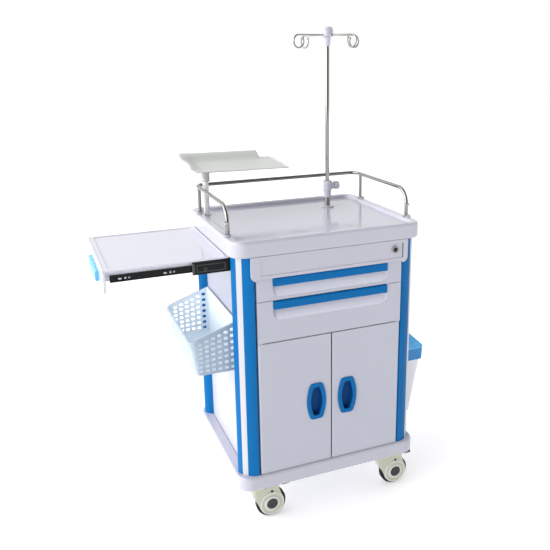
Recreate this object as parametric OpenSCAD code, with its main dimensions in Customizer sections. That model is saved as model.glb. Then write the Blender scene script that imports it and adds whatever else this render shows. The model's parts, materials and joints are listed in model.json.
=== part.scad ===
// Emergency trolley: moulded cabinet on casters, with drawers, a cupboard, a pull-out
// side shelf, a basket, a waste bin, an infusion pole and a swivelling monitor tray.
// Millimetres. The origin is on the floor under the middle of the cabinet,
// +X to the right seen from the front, the front faces -Y, +Z is up.

/* [Cabinet] */
// Half width over the corner posts
post_x = 306; // [300:1:310]
// Half depth over the corner posts
post_y = 249; // [245:1:252]
// Height of the underside of the base moulding
base_z = 145; // [145:1:150]
// Height of the base moulding
base_h = 47; // [44:1:50]
// Half width of the base and top mouldings
mould_x = 312; // [311:1:316]
// Half depth of the base and top mouldings
mould_y = 256; // [255:1:258]
// Corner radius of the base and top mouldings
mould_r = 46; // [44:1:55]
// Underside of the top tray
top_z = 902; // [902:1:904]
// Rim of the top tray
rim_z = 951; // [948:1:954]
// Deck of the top tray
deck_z = 940; // [936:1:942]

/* [Doors and drawers] */
// Half width of the door and drawer fronts
front_x = 239.7; // [238:0.1:239.7]
// Thickness of the fronts
front_t = 18; // [16:1:18]
// Half length of the blue drawer grips
grip_x = 190; // [180:1:200]
// Height of the middle of the door handles
cup_z = 409; // [380:1:430]
// Distance of the door handles from the middle of the cabinet
cup_x = 53; // [50:1:80]

/* [Side shelf] */
// How far the shelf reaches out past the cabinet's middle
shelf_x = 652; // [640:1:660]
// Half width of the shelf
shelf_y = 197; // [190:1:197]
// Top of the shelf
shelf_z = 898; // [896:1:898]

/* [Casters] */
// Wheel radius
wheel_r = 50; // [48:1:50]
// Swivel axis from the middle, sideways
caster_x = 228; // [220:1:232]
// Swivel axis from the middle, front to back
caster_y = 190; // [185:1:195]
// Trail: wheel axle behind the swivel axis
trail = 35; // [30:1:36]

/* [Top fittings] */
// Radius of the guard rail tube
rail_r = 6; // [5:0.5:7]
// Height of the guard rail
rail_z = 1040; // [1030:1:1045]
// Place of the infusion pole, sideways
pole_x = 150; // [130:1:152]
// Place of the infusion pole, front to back
pole_y = 115; // [100:1:130]
// Height of the top of the infusion pole
pole_top = 1545; // [1500:1:1600]
// Place of the monitor tray's post, sideways
monitor_x = -270; // [-272:1:-262]
// Place of the monitor tray's post, front to back
monitor_y = 168; // [160:1:172]
// Height of the monitor tray
monitor_z = 1088; // [1080:1:1095]

/* [Hidden] */
$fn = 48;
blue = [0.07, 0.40, 0.70];
pale_blue = [0.35, 0.65, 0.90];
white = [0.93, 0.93, 0.96];
grey = [0.78, 0.79, 0.78];
beige = [0.78, 0.78, 0.70];
dark = [0.10, 0.11, 0.12];
steel = [0.80, 0.80, 0.82];

corner_r = 68;         // radius of a column's round outer corner
strip_half = 8;        // half the angle of the white strip on that corner
strip_t = 16;          // depth of the white strip
trim_d = 30;           // how deep a trim strip's turned-in edge reaches
trim_t = 6;            // wall of a trim strip
trim_x = front_x + 2.3; // edge of the trim strips beside the fronts
trim_y = post_y - 73;  // edge of the trim strips beside the side panels
trim_r = 10;           // rounding of the edge beside the fronts
side_r = 45;           // rounding of the edge beside the side panels
core_in = 252;         // inner face of the posts' cores
core_y = 199;          // near face of the posts' cores
trim_near = post_y - trim_d - 2; // how far the parts behind the trims may reach
panel_x = post_x - trim_d;
panel_t = 6;
slot_z = 848;          // bottom of the side shelf's slot
base_deck = base_z + 40;
door_z = [194, 628.6];
door_gap = 2;          // half the gap between the doors
drawer_2_z = [632, 761];
drawer_1_z = [763, 833.1];
pole_xy = [pole_x, pole_y];
monitor_xy = [monitor_x, monitor_y];
front_y = -post_y;
back_of_front = front_y + front_t;
divider_z = 629;
divider_t = 6;
pivot_x = 232;         // door pivots
pivot_y = -240;
pivot_r = 3;
run_gap = 0.06;        // radial clearance of a shaft in its bore
rail_x = 297.5;
rail_front = -172;
rail_back = 190;
rail_bend = 50;
rail_corner = 30;
rod_r = 7;
rod_low = 842;
hook_z = 1520;
hook_reach = 120;
hook_loop = 20;
hook_wire = 2.6;
hook_turn = 16;        // heading of the first hook arm
pedal_pin = [44, 112]; // brake pedal's pin, from the caster's swivel axis and the floor
travel_y = 150;        // back of the drawer boxes
box_x = 226;

// ---- shared shapes ----

// A box from its low and high corners
module span(low, high) {
    translate(low) cube([high[0] - low[0], high[1] - low[1], high[2] - low[2]]);
}

// A rectangle with round corners, centred
module round_rect(w, d, r) {
    square([w - 2 * r, d], center = true);
    square([w, d - 2 * r], center = true);
    for (x = [-1, 1]) for (y = [-1, 1])
        translate([x * (w / 2 - r), y * (d / 2 - r)]) circle(r);
}

// What a round outer corner of radius r takes off a square one, corner at the origin
module corner_waste(r) {
    difference() {
        translate([-r, -r]) square(r + 1);
        translate([-r, -r]) circle(r);
    }
}

// Sweeps a 2D profile round a rectangle with round corners.
// The profile's x = 0 is the outer side and its y is the height.
module ring_sweep(w, d, r) {
    for (q = [0:3]) {
        a = (q % 2 == 0) ? w : d;
        b = (q % 2 == 0) ? d : w;
        rotate([0, 0, 90 * q]) {
            translate([a / 2 - r, b / 2 - r, 0])
                rotate_extrude(angle = 90) translate([r, 0]) children();
            translate([a / 2, b / 2 - r, 0])
                rotate([90, 0, 0]) linear_extrude(b - 2 * r) children();
        }
    }
}

// A bar profile standing inward from x = 0, with its outer corners rounded
module rim_profile(w, h, r_top, r_bottom) {
    difference() {
        translate([-w, 0]) square([w, h]);
        translate([0, h]) corner_waste(r_top);
        mirror([0, 1]) corner_waste(r_bottom);
    }
}

// Copies to the left and the right
module both_sides() {
    children();
    mirror([1, 0, 0]) children();
}

// Copies to the four corners
module four_corners() {
    for (x = [0, 1]) for (y = [0, 1])
        mirror([x, 0, 0]) mirror([0, y, 0]) children();
}

// A profile drawn in X and Z, extruded along Y from y0 to y1
module along_y(y0, y1) {
    translate([0, y1, 0]) rotate([90, 0, 0]) linear_extrude(y1 - y0) children();
}

// A profile drawn in Y and Z, extruded along X from x0 to x1
module along_x(x0, x1) {
    translate([x0, 0, 0]) rotate([90, 0, 90]) linear_extrude(x1 - x0) children();
}

// ---- cabinet ----

module base_moulding() {
    color(white) {
        translate([0, 0, base_z])
            ring_sweep(2 * mould_x, 2 * mould_y, mould_r)
                difference() {
                    rim_profile(40, base_h, 8, 5);
                    translate([-40, base_deck - base_z]) square([5, base_h]);
                }
        translate([0, 0, base_deck - 10]) linear_extrude(10)
            square([2 * mould_x - 79, 2 * mould_y - 79], center = true);
        // solid pads over the casters
        four_corners() span([caster_x - 45, caster_y - 45, base_z], [mould_x - 39.5, mould_y - 39.5, base_deck]);
    }
}

// The round outer corner of the +X +Y column in plan, t inside its surface
module corner_disc(t) {
    translate([post_x - corner_r, post_y - corner_r]) circle(corner_r - t);
}

// The wedge of a column where its white post shows between the trim strips
module strip_wedge() {
    reach = corner_r + 12;
    translate([post_x - corner_r, post_y - corner_r])
        polygon([[0, 0], [reach * cos(45 - strip_half), reach * sin(45 - strip_half)],
                 [reach * cos(45 + strip_half), reach * sin(45 + strip_half)]]);
}

// One corner post in plan, in the +X +Y corner
module post_plan() {
    intersection() {
        difference() {
            corner_disc(0);
            corner_disc(strip_t);
        }
        strip_wedge();
    }
    // fins that hold the trim strips
    intersection() {
        corner_disc(trim_t);
        translate([core_in + 2, core_y + 24]) square([trim_t, corner_r]);
    }
    intersection() {
        trim_side(trim_t);
        translate([panel_x - 2, core_y + 2]) square([corner_r, trim_t]);
    }
    difference() {
        translate([core_in, core_y]) square([panel_x - core_in, 26]);
        translate([core_in + 3, core_y + 3]) square([panel_x - core_in - 6, 20]);
    }
}

module corner_posts() {
    low = base_z + base_h;
    color(white) translate([0, 0, low]) linear_extrude(top_z - low) {
        post_plan();
        mirror([1, 0]) post_plan();
        mirror([0, 1]) post_plan();
        mirror([1, 0]) mirror([0, 1]) post_plan();
    }
}

// Outline of the trim at the front or back of a column, t inside its surface
module trim_front(t) {
    difference() {
        intersection() {
            corner_disc(t);
            translate([trim_x + t, post_y - trim_d]) square(2 * corner_r);
        }
        translate([trim_x + t, post_y - t]) mirror([1, 0]) corner_waste(trim_r - t);
    }
}

// Outline of the trim at the side of a column, t inside its surface
module trim_side(t) {
    difference() {
        intersection() {
            corner_disc(t);
            translate([panel_x - min(t, 1), trim_y + t]) square(2 * corner_r);
        }
        translate([post_x - t, trim_y + t]) mirror([0, 1]) corner_waste(side_r - t);
    }
}

// The two trim strips of a column in plan: a skin round the corner, turned in at its edges
module trim_plan() {
    difference() {
        union() {
            difference() {
                trim_front(0);
                trim_front(trim_t);
            }
            difference() {
                trim_side(0);
                trim_side(trim_t);
            }
        }
        strip_wedge();
    }
}

module trim_strips() {
    low = base_z + base_h;
    high = top_z - 2;
    color(blue) difference() {
        four_corners() translate([0, 0, low]) linear_extrude(high - low) trim_plan();
        // notch for the side shelf
        span([-post_x - 1, -core_y, slot_z], [-panel_x + 8, core_y, top_z]);
    }
}

module side_panel(high) {
    color(white) span([panel_x - panel_t, -core_y, base_deck], [panel_x, core_y, high]);
}

module side_panel_left() {
    mirror([1, 0, 0]) side_panel(slot_z);
}

module side_panel_right() {
    side_panel(top_z);
}

module back_panel() {
    color(white) span([-trim_x, post_y - 20, base_deck + 7.5], [trim_x, post_y - 14, top_z]);
}

module cupboard_divider() {
    color(white) {
        span([-core_in, -trim_near, divider_z], [core_in, trim_near, divider_z + divider_t]);
        span([-front_x, -228, divider_z], [front_x, 228, divider_z + divider_t]);
        both_sides() span([core_in - 1, -core_y, divider_z], [panel_x - panel_t, core_y, divider_z + divider_t]);
    }
}

module top_deck() {
    color(white) difference() {
        union() {
            translate([0, 0, top_z])
                ring_sweep(2 * mould_x, 2 * mould_y, mould_r)
                    difference() {
                        rim_profile(28, rim_z - top_z, 9, 4);
                        translate([-28, rim_z - top_z]) mirror([1, 0]) corner_waste(9);
                    }
            translate([0, 0, deck_z - 10]) linear_extrude(10)
                round_rect(2 * mould_x - 55, 2 * mould_y - 55, mould_r - 27);
        }
        // hole for the infusion pole's socket
        translate([pole_xy[0], pole_xy[1], deck_z - 20]) cylinder(r = 10.5, h = 40);
    }
}

// ---- front apron and lock ----
apron_x = 257;
apron_z = [828.5, top_z];
apron_mid = 834;       // underside of the apron between its ends
apron_y = -256;
fascia = [-227, 242, 844, 892];

module front_apron() {
    color(white) difference() {
        union() {
            translate([0, 0, apron_z[0]]) difference() {
                along_y(apron_y, front_y) translate([-apron_x, 0]) square([2 * apron_x, apron_z[1] - apron_z[0]]);
                for (s = [0, 1]) mirror([s, 0, 0])
                    along_y(apron_y - 1, front_y + 1) translate([apron_x, 0]) mirror([0, 1]) corner_waste(18);
            }
            span([-front_x, front_y - 1, apron_mid], [front_x, back_of_front, apron_z[1]]);
        }
        span([-front_x - 0.6, apron_y - 1, apron_z[0] - 1], [front_x + 0.6, front_y, apron_mid]);
        span([fascia[0], apron_y - 1, fascia[2]], [fascia[1], apron_y + 4, fascia[3]]);
        translate([212, 0, 873]) rotate([90, 0, 0]) cylinder(r = 10, h = 400);
    }
}

module fascia_panel() {
    color(white) difference() {
        span([fascia[0], apron_y + 1.5, fascia[2]], [fascia[1] - 4, apron_y + 4, fascia[3]]);
        translate([212, 0, 873]) rotate([90, 0, 0]) cylinder(r = 10, h = 400);
    }
}

module lock_barrel() {
    color(steel) translate([212, back_of_front, 873]) rotate([90, 0, 0]) difference() {
        union() {
            cylinder(r = 10, h = 27.5);
            translate([0, 0, 23.5]) cylinder(r = 12, h = 4);
        }
        translate([0, 0, -1]) cylinder(r = 7 + run_gap, h = 40);
    }
}

module lock_core() {
    color(dark) translate([212, back_of_front, 873]) rotate([90, 0, 0]) difference() {
        union() {
            translate([0, 0, -4]) cylinder(r = 7, h = 32.5);
            translate([-7, -24, -4]) cube([14, 24, 3]);
        }
        translate([-1, -4.5, 26]) cube([2, 9, 3]);
    }
}

// ---- drawers and their slides ----

// A drawer front with a scooped finger recess under its grip
module drawer_front(z, scoop_low) {
    color(white) difference() {
        span([-front_x, front_y, z[0]], [front_x, back_of_front, z[1]]);
        intersection() {
            along_x(-grip_x, grip_x)
                polygon([[front_y - 1, scoop_low - 2], [front_y, scoop_low], [front_y + 14, z[1] - 27.5],
                         [front_y + 14, z[1] + 1], [front_y - 1, z[1] + 1]]);
            along_y(front_y - 2, front_y + 15)
                translate([0, scoop_low + 59]) round_rect(2 * grip_x, 120, 24);
        }
    }
}

// The blue grip: a hooked bar along the top of the recess
module drawer_grip(z) {
    high = z[1] - 0.6;
    color(blue) along_x(-grip_x + 1, grip_x - 1) difference() {
        translate([front_y - 4, high - 26]) square([18, 26]);
        translate([front_y - 4, high]) mirror([1, 0]) corner_waste(5);
        translate([front_y - 4, high - 26]) mirror([1, 0]) mirror([0, 1]) corner_waste(2);
        translate([front_y, high - 27]) square([10.5, 21]);
    }
}

// An open box with 4 mm walls
module drawer_box(z0, z1) {
    color(white) difference() {
        span([-box_x, back_of_front, z0], [box_x, travel_y, z1]);
        span([-box_x + 4, back_of_front + 4, z0 + 4], [box_x - 4, travel_y - 4, z1 + 1]);
    }
}

module drawer_runners(z) {
    color(steel) both_sides() {
        span([box_x, -trim_near, z - 12], [box_x + 3, travel_y, z + 12]);
        span([box_x + 2, -trim_near, z - 8], [box_x + 13, travel_y, z + 8]);
    }
}

// A channel in section: back plate at a, lips reaching to b, centred on height z
module channel_section(a, b, z, half, t) {
    way = sign(b - a);
    translate([min(a, a + way * t), z - half]) square([t, 2 * half]);
    for (s = [-1, 1])
        translate([min(a, b), z + s * (half - t / 2) - t / 2]) square([abs(b - a), t]);
}

shelf_mid = 871;
module slide_channels() {
    color(steel) {
        // for the two drawers
        for (z = [690, 795]) both_sides()
            along_y(-trim_near, trim_near) channel_section(core_in, 231, z, 13, 2);
        // for the side shelf
        for (s = [0, 1]) mirror([0, s, 0])
            along_x(-296, 270) channel_section(core_y, 187, shelf_mid, 22, 2);
    }
}

scoop_1 = 774;
scoop_2 = 701;
module drawer_1_front() { drawer_front(drawer_1_z, scoop_1); }
module drawer_1_grip() { drawer_grip(drawer_1_z); }
module drawer_1_box() { drawer_box(768, 822); }
module drawer_1_runners() { drawer_runners(795); }
module drawer_2_front() { drawer_front(drawer_2_z, scoop_2); }
module drawer_2_grip() { drawer_grip(drawer_2_z); }
module drawer_2_box() { drawer_box(640, 752); }
module drawer_2_runners() { drawer_runners(690); }

// ---- cupboard doors ----

// Barrel-shaped outline of a door handle: bulging sides and round ends
module cup_outline(w, h) {
    side_r = 1.2 * h;
    intersection() {
        round_rect(w, h, w * 0.36);
        translate([w / 2 - side_r, 0]) circle(side_r);
        translate([side_r - w / 2, 0]) circle(side_r);
    }
}

// The right door in the +X half
module door_panel() {
    color(white) difference() {
        translate([0, 0, door_z[0]]) linear_extrude(door_z[1] - door_z[0]) difference() {
            translate([door_gap, front_y]) square([front_x - door_gap, front_t]);
            translate([front_x, front_y]) mirror([0, 1]) corner_waste(6);
            translate([door_gap, front_y]) mirror([1, 0]) mirror([0, 1]) corner_waste(2);
        }
        // pocket for the handle cup
        translate([cup_x, 0, cup_z]) along_y(front_y - 1, front_y + 15) cup_outline(60, 112);
        // pivot holes
        for (z = [door_z[0] - 1, door_z[1] - 16])
            translate([pivot_x, pivot_y, z]) cylinder(r = pivot_r + run_gap, h = 17);
    }
}

module door_handle() {
    color(blue) translate([cup_x, 0, cup_z]) difference() {
        union() {
            along_y(front_y - 4, front_y) cup_outline(65, 123);
            along_y(front_y - 1, front_y + 15) cup_outline(60, 112);
        }
        along_y(front_y - 9, front_y + 12) cup_outline(38, 96);
    }
}

module door_right() { door_panel(); }
module door_right_handle() { door_handle(); }
module door_left() { mirror([1, 0, 0]) door_panel(); }
module door_left_handle() { mirror([1, 0, 0]) door_handle(); }

module door_pivots() {
    color(steel) both_sides() {
        // lower pin, standing on the base
        translate([pivot_x, pivot_y, base_z + base_h]) cylinder(r = pivot_r, h = 14);
        // upper pin, hanging from a plate on the divider's front edge
        span([pivot_x - 8, -247, divider_z + 0.2], [pivot_x + 7, -228, divider_z + 2.4]);
        translate([pivot_x, pivot_y, divider_z - 12]) cylinder(r = pivot_r, h = 13);
    }
}

module magnet_catches() {
    color(dark) both_sides() span([8, -229.6, divider_z - 16], [48, -212, divider_z]);
}

// ---- pull-out side shelf ----
end_z = 832;
end_t = 8;

module side_shelf_tray() {
    color(white) difference() {
        union() {
            span([-shelf_x, -184, 865], [-305, 184, shelf_z]);
            span([-shelf_x, -shelf_y, 893.6], [-305, shelf_y, shelf_z]);
        }
        // shallow dish on top
        translate([(-shelf_x - 305) / 2, 0, shelf_z - 2]) linear_extrude(5)
            round_rect(shelf_x - 305 - 20, 2 * shelf_y - 20, 12);
        // hollow underside
        span([-shelf_x + 4, -180, 860], [-309, 180, shelf_z - 5]);
    }
}

module side_shelf_end_plate() {
    color(white) translate([-shelf_x - end_t, 0, (end_z + shelf_z) / 2]) rotate([90, 0, 90])
        linear_extrude(end_t) round_rect(2 * shelf_y, shelf_z - end_z, 8);
}

module side_shelf_handle() {
    x0 = -shelf_x - end_t;
    color(pale_blue) difference() {
        along_y(-92, 92) translate([x0 - 10, 840]) difference() {
            square([10, 30]);
            translate([0, 30]) mirror([1, 0]) corner_waste(7);
            mirror([1, 0]) mirror([0, 1]) corner_waste(2.5);
        }
        span([x0 - 7, -86, 839], [x0 + 1, 86, 862]);
    }
}

module side_shelf_inner_slides() {
    color(dark) for (s = [0, 1]) mirror([0, s, 0]) {
        span([-640, 184, 861], [-306, 187, 881]);
        for (z = [861, 879]) span([-640, 186, z], [-306, 189, z + 2]);
    }
}

module side_shelf_middle_slides() {
    color(dark) for (s = [0, 1]) mirror([0, s, 0])
        along_x(-410, -60) channel_section(193.5, 185.5, shelf_mid, 18, 2);
}

// ---- basket and bin ----
basket_y = [-171.5, 171.5];
basket_wall = 279;     // outer face of the basket's wall next to the cabinet
basket_low = 525;
basket_foot = 408;     // outer side of the basket at its foot
basket_out = 425;      // outer side of the basket at its rim
basket_rim = [687, 636]; // rim heights, at the cabinet and at the outer side

// The basket in X and Z (X counted outward), moved in by t
module basket_outline(t, lift) {
    polygon([[basket_wall + t, basket_low + t], [basket_foot - t, basket_low + t],
             [basket_out - t, basket_rim[1] + lift], [basket_wall + t, basket_rim[0] + lift]]);
}

module wire_basket() {
    columns = 6;
    rows = 7;
    slope = (basket_rim[0] - basket_rim[1]) / (basket_out - basket_wall);
    color([0.86, 0.91, 0.97]) mirror([1, 0, 0]) difference() {
        union() {
            along_y(basket_y[0], basket_y[1]) basket_outline(0, 0);
            // rolled rim
            along_y(basket_y[0] - 4, basket_y[1] + 4)
                polygon([[basket_wall, basket_rim[0] - 7], [basket_out + 4, basket_rim[1] - 8],
                         [basket_out + 4, basket_rim[1] - 1], [basket_wall, basket_rim[0]]]);
        }
        along_y(basket_y[0] + 3, basket_y[1] - 3) basket_outline(3, 60);
        // holes through both end walls, in rows that fan out with the sloping rim
        for (i = [0:columns - 1]) for (j = [0:rows - 1]) {
            x = basket_wall + 17 + 20 * i;
            rim = basket_rim[0] - slope * (x - basket_wall);
            z = basket_low + 14 + (rim - 20 - basket_low - 14) * j / (rows - 1);
            translate([x - 6.5, basket_y[0] - 5, z - 5.2]) cube([13, basket_y[1] - basket_y[0] + 10, 10.4]);
        }
    }
}

bin_back = 279;
bin_low = 198;
bin_high = 402;
bin_half = 100;
hinge_xz = [294, 512];

bin_out = 421;         // outer side of the bin at its mouth
bin_foot = 390;        // outer side of the bin at its foot

// A flat outline against the side panel, from x0 to x1 and half wide each way
module bin_plan(z, x0, x1, half, r) {
    translate([(x0 + x1) / 2, 0, z]) linear_extrude(1) round_rect(x1 - x0, 2 * half, r);
}

// Tapered bin, moved in by t
module bin_shape(t, low, high) {
    hull($fn = 32) {
        bin_plan(low, bin_back + t, bin_foot - t, bin_half - 10 - t, 18 - t);
        bin_plan(high - 1, bin_back + t, bin_out - t, bin_half - t, 18 - t);
    }
}

module bin_body() {
    color(white) difference() {
        union() {
            difference() {
                bin_shape(0, bin_low, bin_high);
                bin_shape(3, bin_low + 3, bin_high + 1);
            }
            // back plate and the lid's knuckles
            span([bin_back, -bin_half + 6, bin_high - 20], [bin_back + 4, bin_half - 6, 500]);
            for (y = [-60, 40]) {
                span([bin_back, y, 488], [hinge_xz[0], y + 20, 500]);
                span([hinge_xz[0] - 5, y, 494], [hinge_xz[0] + 5, y + 20, hinge_xz[1]]);
                translate([hinge_xz[0], y, hinge_xz[1]]) rotate([-90, 0, 0]) cylinder(r = 6, h = 20);
            }
        }
        translate([hinge_xz[0], -110, hinge_xz[1]]) rotate([-90, 0, 0])
            cylinder(r = 3 + run_gap, h = 220);
    }
}

lid_low = bin_high + 0.4;
lid_back = 287;
lid_half = bin_half + 3;

// The lid's hood, moved in by t: upright sides, then a slope on three sides
module lid_shape(t) {
    hull($fn = 32) {
        bin_plan(lid_low - t, lid_back - t, 425 - t, lid_half - t, 10 - t);
        bin_plan(452, lid_back - t, 428 - t, lid_half - t, 10 - t);
        bin_plan(514 - t, lid_back - t, 364 - t, lid_half - 17 - t, 9 - t);
        bin_plan(523 - t, lid_back - t, 350 - t, lid_half - 24 - t, 8 - t);
    }
}

module bin_lid() {
    half = lid_half - 30;
    color(blue) {
        difference() {
            lid_shape(0);
            lid_shape(3);
        }
        // hinge rod and its lug
        translate([hinge_xz[0], -half + 2, hinge_xz[1]]) rotate([-90, 0, 0]) cylinder(r = 3, h = 2 * half - 4);
        span([hinge_xz[0] - 3, -35, hinge_xz[1]], [hinge_xz[0] + 3, 35, 522]);
    }
}

// Plates on the side panels that the basket and the bin hang on
module hang_brackets() {
    color(steel) {
        span([panel_x, -60, 385], [bin_back, 60, 485]);
        mirror([1, 0, 0]) span([panel_x, -150, 600], [basket_wall, 100, 680]);
    }
}

// ---- rail, pole and monitor tray ----

// The left side of the rail, from its front foot to its back corner.
// The bends are a hair thicker than the straights, which end inside them.
module rail_side() {
    bend_r = rail_r + 0.05;
    into = 1;
    translate([-rail_x, rail_front, rim_z]) {
        cylinder(r = rail_r, h = rail_z - rail_bend - rim_z + into);
        cylinder(r = 10, h = 4);
    }
    translate([-rail_x, rail_front + rail_bend, rail_z - rail_bend]) rotate([90, 0, -90])
        rotate_extrude(angle = 90) translate([rail_bend, 0]) circle(bend_r);
    translate([-rail_x, rail_front + rail_bend - into, rail_z]) rotate([-90, 0, 0])
        cylinder(r = rail_r, h = rail_back - rail_corner - rail_front - rail_bend + 2 * into);
    translate([-rail_x + rail_corner, rail_back - rail_corner, rail_z])
        rotate([0, 0, 90]) rotate_extrude(angle = 90) translate([rail_corner, 0]) circle(bend_r);
    // rear foot
    translate([-rail_x, 150, rim_z]) {
        cylinder(r = rail_r - 0.5, h = rail_z - rim_z);
        cylinder(r = 10, h = 4);
    }
}

module guard_rail() {
    back_half = rail_x - rail_corner + 1;
    color(steel) {
        both_sides() rail_side();
        translate([-back_half, rail_back, rail_z]) rotate([0, 90, 0]) cylinder(r = rail_r, h = 2 * back_half);
    }
}

module pole_socket() {
    color(steel) translate([pole_xy[0], pole_xy[1], 0]) difference() {
        union() {
            translate([0, 0, 838]) cylinder(r = 10.5, h = 1000 - 838);
            translate([0, 0, deck_z]) cylinder(r = 22, h = 5);
        }
        translate([0, 0, 840]) cylinder(r = rod_r + run_gap, h = 200);
    }
}

clamp_z = [1000, 1034];
module pole_clamp() {
    color(white) translate([pole_xy[0], pole_xy[1], 0]) difference() {
        union() {
            translate([0, 0, clamp_z[0]]) cylinder(r = 15, h = clamp_z[1] - clamp_z[0]);
            translate([0, 0, clamp_z[0] - 24]) cylinder(r = 13.5, h = 25);
            translate([0, -9, clamp_z[0] + 4]) cube([22, 18, 22]);
        }
        translate([0, 0, clamp_z[0] - 30]) cylinder(r = 10.5, h = 30);
        translate([0, 0, clamp_z[0] - 1]) cylinder(r = rod_r + run_gap, h = 60);
        translate([rod_r + 1, 0, clamp_z[0] + 15]) rotate([0, 90, 0]) cylinder(r = 3 + run_gap, h = 40);
    }
}

module pole_knob() {
    color(white) translate([pole_xy[0], pole_xy[1], clamp_z[0] + 15]) rotate([0, 90, 0]) {
        translate([0, 0, 10]) cylinder(r = 3, h = 20);
        translate([0, 0, 22.4]) cylinder(r = 8, h = 6);
        difference() {
            translate([0, 0, 27]) cylinder(r = 14, h = 15);
            for (a = [0:60:359]) rotate([0, 0, a]) translate([16.5, 0, 26]) cylinder(r = 5, h = 20);
        }
    }
}

module pole_rod() {
    color(steel) translate([pole_xy[0], pole_xy[1], rod_low]) difference() {
        cylinder(r = rod_r, h = pole_top - 25 - rod_low);
        translate([0, 0, -1]) cylinder(r = rod_r - 1.5, h = pole_top - 30 - rod_low);
    }
}

module pole_hub() {
    color(white) translate([pole_xy[0], pole_xy[1], 0]) difference() {
        union() {
            translate([0, 0, 1484]) cylinder(r1 = 9, r2 = 12, h = 32);
            translate([0, 0, 1515]) cylinder(r = 20, h = 20);
            translate([0, 0, 1535]) cylinder(r1 = 20, r2 = 15, h = pole_top - 1535);
        }
        translate([0, 0, 1400]) cylinder(r = rod_r, h = pole_top - 25 - 1400);
        // seats of the hook wires
        for (a = [0:90:270]) rotate([0, 0, hook_turn + a]) translate([11, 0, hook_z])
            rotate([0, 90, 0]) cylinder(r = hook_wire - 0.2, h = 20);
    }
}

module pole_hooks() {
    color(steel) translate([pole_xy[0], pole_xy[1], hook_z])
        for (a = [0:90:270]) rotate([0, 0, hook_turn + a]) {
            // the arm is a hair thinner than the loop, and ends inside it
            translate([11, 0, 0]) rotate([0, 90, 0]) cylinder(r = hook_wire - 0.2, h = hook_reach - 10);
            translate([hook_reach, 0, -hook_loop]) rotate([90, 0, 0]) rotate([0, 0, -210])
                rotate_extrude(angle = 300) translate([hook_loop, 0]) circle(hook_wire);
        }
}

module monitor_post() {
    color(grey) translate([monitor_xy[0], monitor_xy[1], 0]) {
        translate([0, 0, deck_z]) cylinder(r = 10, h = monitor_z - 7 - deck_z);
        translate([0, 0, deck_z]) cylinder(r = 13.5, h = 5);
    }
}

// The tray with its socket under the front left corner
tray_w = 326;
tray_d = 275;
tray_off = [48, 40];
tray_turn = -5;
module monitor_tray() {
    x0 = -tray_off[0];
    y0 = -tray_off[1];
    x1 = x0 + tray_w;
    y1 = y0 + tray_d;
    color(grey) translate([monitor_xy[0], monitor_xy[1], monitor_z]) rotate([0, 0, tray_turn]) {
        // plate with turned-down front and turned-up back and sides
        span([x0, y0, 0], [x1, y1, 4]);
        span([x0, y0, -5], [x1, y0 + 4, 4]);
        span([x0, y1 - 4, 0], [x1 - 38, y1, 30]);
        span([x1 - 4, y0 + 20, 0], [x1, y1 - 30, 20]);
        span([x0, y0 + 20, 0], [x0 + 4, y1, 12]);
        // socket that turns on the post
        difference() {
            union() {
                translate([0, 0, -34]) cylinder(r = 14, h = 35);
                span([-14, -14, -8], [150, 14, 1]);
            }
            translate([0, 0, -40]) cylinder(r = 10 + run_gap, h = 34);
        }
    }
}

// ---- casters ----
fork_half = 18;
fork_top = 132;
fork_back = -34;       // the hood's rounded end, from the swivel axis
fork_side = 60;        // its other side
cheek_r = 41;          // radius of the cheeks round the axle

// Places a caster part: sx and sy choose the corner
module at_caster(sx, sy) {
    translate([sx * caster_x, sy * caster_y, 0]) children();
}

module caster_plates() {
    color(steel) for (x = [-1, 1]) for (y = [-1, 1]) at_caster(x, y) {
        span([-38, -32, base_z - 5], [38, 32, base_z]);
        translate([0, 0, fork_top + 0.5]) cylinder(r = 24, h = base_z - 5 - fork_top);
        translate([0, 0, 110]) cylinder(r = 6, h = 26);
        translate([0, 0, 106]) cylinder(r = 9, h = 5);
    }
}

// Side view of a fork, in X and Z
module fork_outline() {
    translate([trail, wheel_r]) circle(cheek_r);
    polygon([[fork_back + 6, fork_top], [fork_back, fork_top - 8], [fork_back, 102], [-28, 86], [-16, 63],
             [trail - 37.3, wheel_r - 17], [trail, wheel_r], [trail + 38.2, wheel_r + 14.8],
             [fork_side, 99], [fork_side, fork_top]]);
}

module caster_fork(has_slot) {
    color(beige) difference() {
        union() {
            intersection() {
                along_y(-fork_half, fork_half) fork_outline();
                // round end of the hood, seen from above
                union() {
                    translate([fork_back + fork_half, 0, 0]) cylinder(r = fork_half, h = fork_top);
                    span([fork_back + fork_half, -fork_half, 0], [trail + cheek_r + 1, fork_half, fork_top]);
                }
            }
            translate([0, 0, 112]) cylinder(r = 26, h = fork_top - 112);
        }
        // room for the wheel
        translate([trail, 13, wheel_r]) rotate([90, 0, 0]) cylinder(r = wheel_r + 4, h = 26);
        span([trail - wheel_r - 4, -13, -10], [trail + wheel_r + 4, 13, wheel_r]);
        // kingpin
        translate([0, 0, 60]) cylinder(r = 6 + run_gap, h = 100);
        translate([0, 0, 60]) cylinder(r = 10, h = 51.5);
        // pin holes above the axle
        translate([trail, fork_half + 1, wheel_r + 44]) rotate([90, 0, 0]) cylinder(r = 3.6, h = 2 * fork_half + 2);
        // room for the brake pedal
        if (has_slot)
            span([pedal_pin[0] - 8, -10, 106], [80, 10, fork_top + 1]);
    }
    // axle
    color(beige) translate([trail, 14, wheel_r]) rotate([90, 0, 0]) cylinder(r = 6, h = 28);
    if (has_slot)
        color(beige) translate([pedal_pin[0], 11, pedal_pin[1]]) rotate([90, 0, 0]) cylinder(r = 2.5, h = 22);
}

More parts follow.
